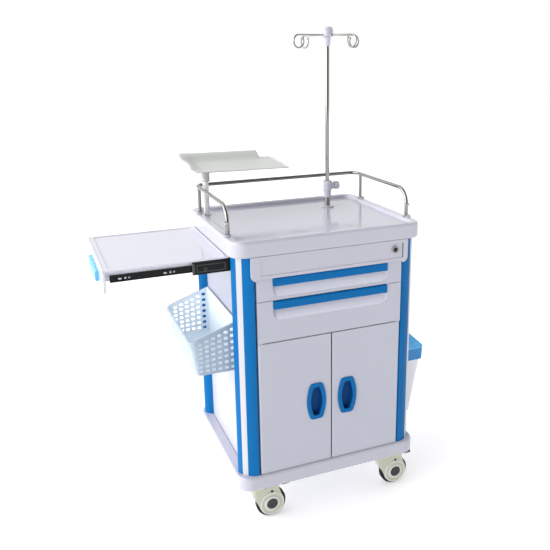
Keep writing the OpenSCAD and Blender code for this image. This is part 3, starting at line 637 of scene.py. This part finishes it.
def monitor_tray():
    """A bent sheet: a raised back band, a left edge that sweeps up and a flange on the right, painted paler
    than the sheet as painted light.
    """
    joint = next(j for j in frame["joints"] if j["name"] == "monitor_tray_swivel")
    axis_x, axis_y = joint["pos_m"][:2]
    top = 1092 * MM
    width, depth = 326 * MM, 275 * MM
    left, front = -48 * MM, -40 * MM
    place = Matrix.Translation((axis_x, axis_y, top)) @ Matrix.Rotation(math.radians(-5), 4, "Z")
    band_end = width - 44 * MM
    band_rise, side_rise, side_width = 26 * MM, 15 * MM, 44 * MM
    swept, longest_sweep, longest_nick = 28 * MM, 10 * MM, 12 * MM

    def height(u, v):
        """How far the sheet rises at u from its left and v from its front edge."""
        back = smooth(v, depth - 62 * MM, depth - 4 * MM)
        back *= 1 - smooth(u, band_end - 6 * MM, band_end + 7 * MM)
        side = smooth(side_width - u, 0, side_width) * smooth(v, 10 * MM, 90 * MM)
        return band_rise * back + side_rise * side * (1 - back) + 1.5 * MM * back * side

    across, along = 60, 48
    rows = []
    for j in range(along + 1):
        v = depth * j / along
        row = []
        for i in range(across + 1):
            u = width * i / across
            sweep = longest_sweep * smooth(swept - u, 0, swept) * smooth(v, 60 * MM, depth)
            nick = longest_nick * (1 - smooth(u, 0, 60 * MM)) * (1 - smooth(v, 0, 45 * MM))
            row.append(place @ Vector((left + u - sweep + nick, front + v, height(u, v))))
        rows.append(row)
    plate = sheet("monitor_tray_sheet", rows, 2.4 * MM, "monitor_swivel_tray", "grey_coated_steel")
    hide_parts("monitor_tray")

    # the flange swells out and up along the right edge, and ends square at the back
    along, out_steps = 24, 8
    start, length = 6, 232
    rows = []
    for j in range(along + 1):
        v = (start + length * j / along) * MM
        swell = math.sin(math.pi * (0.18 + 0.82 * (1 - j / along))) ** 0.7
        reach = swell if j < along else 0.0
        row = []
        for i in range(out_steps + 1):
            t = i / out_steps
            out = 20 * MM * reach * t
            rise = 0.5 * MM + 17 * MM * reach * t * t + 2 * MM * t
            row.append(place @ Vector((left + width - 3 * MM + out, front + v, rise)))
        rows.append(row)
    sheet("monitor_tray_flange", rows, 2.0 * MM, "monitor_swivel_tray", "grey_coated_steel", FLANGE_PAINTED_LIGHT)

    # a socket over the post's top, and a rib under the sheet
    mesh = bmesh.new()
    under = place @ Matrix.Translation((0, 0, -3 * MM))
    socket = [(0, -7), (10.2, -7), (10.2, -35), (12.5, -35), (14, -33.5), (14, -8), (16, -4), (22, -1),
              (30, 0), (0, 0)]
    lathe(mesh, in_mm(socket), under, 40)
    slab(mesh, (12 * MM, -13 * MM, -5 * MM), (150 * MM, 13 * MM, 0.2 * MM), 1.5 * MM, under)
    piece("monitor_tray_socket", mesh, "monitor_swivel_tray", "grey_coated_steel")


# ---- casters ----

def caster_details():
    """Hub caps, the rings round them and round the cheeks in light grey as a painted highlight, and dark plugs
    in the pin holes as painted shade.
    """
    cheek = 18 * MM
    cap = [(0, 4.2), (3.2, 4.2), (4.4, 3.6), (5.6, 4.3), (13, 4.2)]
    cap += arc(15.6, 1.4, 2.8, 90, 0, 5) + [(18.4, 0.1), (0, 0.1)]
    # a dark plug in each pin hole, standing for the hole's shade as painted shade
    shade_plug = [(0, 3.3), (4.2, 3.2), (4.9, 2.6), (4.9, 2.1), (3.5, 2.1), (3.5, 0), (0, 0)]
    plug_in, plug_up = 2 * MM, 44 * MM
    for joint in frame["joints"]:
        if not joint["name"].startswith("wheel_spin_"):
            continue
        corner = joint["name"][-2:]
        body = joint["parent"]
        axle = Vector(joint["pos_m"])
        rings, caps = bmesh.new(), bmesh.new()
        for side in (-1, 1):
            face = facing(axle + Vector((0, side * cheek, 0)), (0, side, 0))
            washer_ring(rings, face, 18.8 * MM, 26.5 * MM, 2.8 * MM)
            washer_ring(rings, face, 35 * MM, 41 * MM, 1.6 * MM)
            lathe(caps, in_mm(cap), face, 48)
            seat = facing(axle + Vector((0, side * (cheek - plug_in), plug_up)), (0, side, 0))
            lathe(caps, in_mm(shade_plug), seat, 24)
        piece(f"cheek_rings_{corner}", rings, body, "beige_plastic", CHEEK_RING_PAINTED_HIGHLIGHT)
        piece(f"hub_caps_and_shade_plugs_{corner}", caps, body, "black_plastic", CAP_GREY)


def caster_bolts():
    """Four bolts through each caster's plate."""
    plate_foot = 140 * MM
    mesh = bmesh.new()
    for joint in frame["joints"]:
        if joint["name"].startswith("caster_swivel_"):
            x, y = joint["pos_m"][:2]
            for dx in (-31, 31):
                for dy in (-26, 26):
                    screw(mesh, facing((x + dx * MM, y + dy * MM, plate_foot), (0, 0, -1)), 4 * MM)
    piece("caster_bolts", mesh, "cabinet", "zinc_steel")


# ---- side shelf's slides ----

def slide_details():
    """Screws and plain stamped marks on the slides' outer faces."""
    low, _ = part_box("side_shelf_inner_slides")
    screws, marks = bmesh.new(), bmesh.new()
    z = low.z + 9 * MM
    mark = Vector((2.6 * MM, 0.5 * MM, 2.8 * MM))
    for side in (-1, 1):
        face_y = side * 187 * MM
        for start in (27 * MM, 152 * MM):
            x = low.x + start
            oval = facing((x, face_y, z), (0, side, 0)) @ Matrix.Diagonal((1.5, 1, 1, 1))
            screw(screws, oval, 3.4 * MM, socket=0.35)
            centre = Vector((x + 15 * MM, face_y, z))
            slab(marks, centre - mark, centre + mark, 0.3 * MM)
            washer_ring(marks, facing((x + 25.5 * MM, face_y, z), (0, side, 0)), 1.1 * MM, 2.6 * MM, 0.6 * MM)
    piece("slide_screws", screws, "side_shelf", "zinc_steel")
    piece("slide_marks", marks, "side_shelf", "zinc_steel", MARK_GREY)

    # an end lip and a stamped frame on the middle members, in a lighter black than the slides as a painted
    # highlight
    low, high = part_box("side_shelf_middle_slides")
    start, end, inset, half_rib, soft = low.x + 11 * MM, low.x + 96 * MM, 8 * MM, 1 * MM, 0.4 * MM
    mesh = bmesh.new()
    for side in (-1, 1):
        face_y = side * high.y
        near, far = sorted((face_y - side * 0.2 * MM, face_y + side * 1.0 * MM))
        slab(mesh, (low.x - 2 * MM, near, low.z + 1 * MM), (low.x + 5 * MM, far, high.z - 1 * MM), soft)
        for z in (low.z + inset, high.z - inset):
            slab(mesh, (start, near, z - half_rib), (end, far, z + half_rib), soft)
        for x in (start, end - 2 * half_rib):
            slab(mesh, (x, near, low.z + inset), (x + 2 * half_rib, far, high.z - inset), soft)
        hole = facing((low.x + 37 * MM, face_y, low.z + 15 * MM), (0, side, 0))
        washer_ring(mesh, hole, 3 * MM, 5 * MM, 0.8 * MM)
    piece("middle_slide_stampings", mesh, "shelf_slides", "black_slide", SLIDE_RIB_PAINTED_HIGHLIGHT)


# ---- fittings ----

def rail_details():
    """Rosettes at the rail's feet and the sleeves on its front legs."""
    low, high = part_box("guard_rail")
    leg = high.x - 6 * MM
    front, back = low.y + 10 * MM, 150 * MM
    sleeve_foot = 988 * MM
    foot = [(6.2, 0), (13, 0), (13, 1.6)] + arc(10.6, 1.6, 2.4, 0, 80, 4)
    foot += [(7.4, 4.8), (7, 6.5), (6.2, 6.8)]
    sleeve = [(6.02, 0), (7.1, 0.3), (7.1, 5.2), (6.02, 5.5)]
    feet, sleeves = bmesh.new(), bmesh.new()
    for x in (-leg, leg):
        for y in (front, back):
            lathe(feet, in_mm(foot), Matrix.Translation((x, y, low.z)), 36, closed=True)
        lathe(sleeves, in_mm(sleeve), Matrix.Translation((x, front, sleeve_foot)), 32, closed=True)
    piece("rail_rosettes", feet, "cabinet", "white_moulding")
    piece("rail_sleeves", sleeves, "cabinet", "white_moulding")


def pole_details():
    """Round tips on the hooks, rings at their roots and round the hub, and rings on the clamp."""
    low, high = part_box("pole_hub")
    centre = (low + high) / 2
    hook_z, ring_z = 1520 * MM, 1515 * MM
    first_heading, root, tip_reach, tip_drop = 16, 19.6 * MM, 102.7 * MM, 10 * MM
    middle = Vector((centre.x, centre.y, hook_z))
    ball = [(0, -3.7), *arc(0, 0, 3.7, -75, 75, 8), (0, 3.7)]
    tips, rings = bmesh.new(), bmesh.new()
    for quarter in range(4):
        heading = math.radians(first_heading + 90 * quarter)
        outward = Vector((math.cos(heading), math.sin(heading), 0))
        tip = middle + outward * tip_reach - Vector((0, 0, tip_drop))
        lathe(tips, in_mm(ball), facing(tip, (0.5, 0.2, 0.8)), 20)
        washer_ring(rings, facing(middle + outward * root, outward), 2.7 * MM, 5 * MM, 2 * MM)
    lathe(rings, in_mm([(19, -0.6), (20.5, 0), (20.5, 1.8), (19, 2.4)]),
          Matrix.Translation((centre.x, centre.y, ring_z)), 48, closed=True)
    piece("hook_tips", tips, "pole", "chrome_tube")
    piece("hub_rings", rings, "pole", "white_panel")

    low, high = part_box("pole_clamp")
    mesh = bmesh.new()
    for z, inner, outer in ((low.z + 1 * MM, 13, 14.4), (low.z + 22 * MM, 14.6, 15.8),
                            (high.z - 3 * MM, 14.6, 15.8)):
        lathe(mesh, in_mm([(inner, 0), (outer, 0.4), (outer, 1.8), (inner, 2.2)]),
              Matrix.Translation((centre.x, centre.y, z)), 40, closed=True)
    piece("clamp_rings", mesh, "cabinet", "white_moulding")


def fascia_slot():
    """A dark grey bar in the gap at the fascia's right end, as painted shade."""
    low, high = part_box("fascia_panel")
    mesh = bmesh.new()
    slab(mesh, (high.x + 0.3 * MM, low.y + 0.6 * MM, low.z + 1.5 * MM),
         (high.x + 3.7 * MM, high.y, high.z - 1.5 * MM), 0.5 * MM)
    piece("fascia_gap_painted_shade", mesh, "cabinet", "black_plastic", GAP_SHADE_GREY)


def panel_screws():
    """Screws round the back panel, with none in its middle, and through the bin's bracket."""
    _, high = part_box("back_panel")
    lowest, highest = 215, 880
    mesh = bmesh.new()
    for x in (-225, 0, 225):
        for z in (lowest, 430, 650, highest):
            if x or z in (lowest, highest):
                screw(mesh, facing((x * MM, high.y, z * MM), (0, 1, 0)), 4.2 * MM)
    piece("back_screws", mesh, "cabinet", "zinc_steel")

    mesh = bmesh.new()
    for z in (395, 475):
        for y in (-78, 78):
            screw(mesh, facing((283 * MM, y * MM, z * MM), (1, 0, 0)), 4 * MM)
    piece("bin_screws", mesh, "cabinet", "zinc_steel")


def strike_plates():
    """Steel plates inside the doors' upper corners, facing the magnets."""
    for side, hand in ((-1, "left"), (1, "right")):
        _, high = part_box(f"door_{hand}")
        mesh = bmesh.new()
        x0, x1 = sorted((side * 10 * MM, side * 46 * MM))
        slab(mesh, (x0, high.y - 0.2 * MM, high.z - 15 * MM),
             (x1, high.y + 0.9 * MM, high.z - 3 * MM), 0.3 * MM)
        piece(f"strike_plate_{hand}", mesh, f"{hand}_door", "zinc_steel")


def gap_shade_strips():
    """Dark strips in the gaps as painted shade: over the doors on the divider, and down the gap between the
    doors.
    """
    mesh = bmesh.new()
    slab(mesh, (-225.5 * MM, -238 * MM, 628.9 * MM), (225.5 * MM, -228.5 * MM, 631.8 * MM), 0.3 * MM)
    piece("drawer_gap_painted_shade", mesh, "cabinet", "black_plastic")
    low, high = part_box("door_right")
    mesh = bmesh.new()
    # a dark strip behind the gap between the doors, as painted shade
    slab(mesh, (low.x - 1.6 * MM, low.y + 5 * MM, low.z + 4 * MM),
         (low.x + 0.4 * MM, high.y - 2 * MM, high.z - 4 * MM), 0.4 * MM)
    piece("door_gap_painted_shade", mesh, "right_door", "black_plastic")


# ---- run ----

make_camera()
make_world()
area_light("key", (-3.2, -1.0, 2.9), (0, 0, 0.75), (1.8, 1.4), 17)
area_light("right_fill", (1.9, -2.4, 1.6), (0.1, 0, 0.6), (1.6, 1.6), 2.8)
make_floor()
bpy.context.scene.view_settings.view_transform = "Standard"

dress_nodes()
drawer_fronts()
lid()
pole_foot()
door_handles()
basket()
monitor_tray()
caster_details()
caster_bolts()
slide_details()
rail_details()
pole_details()
fascia_slot()
panel_screws()
strike_plates()
gap_shade_strips()
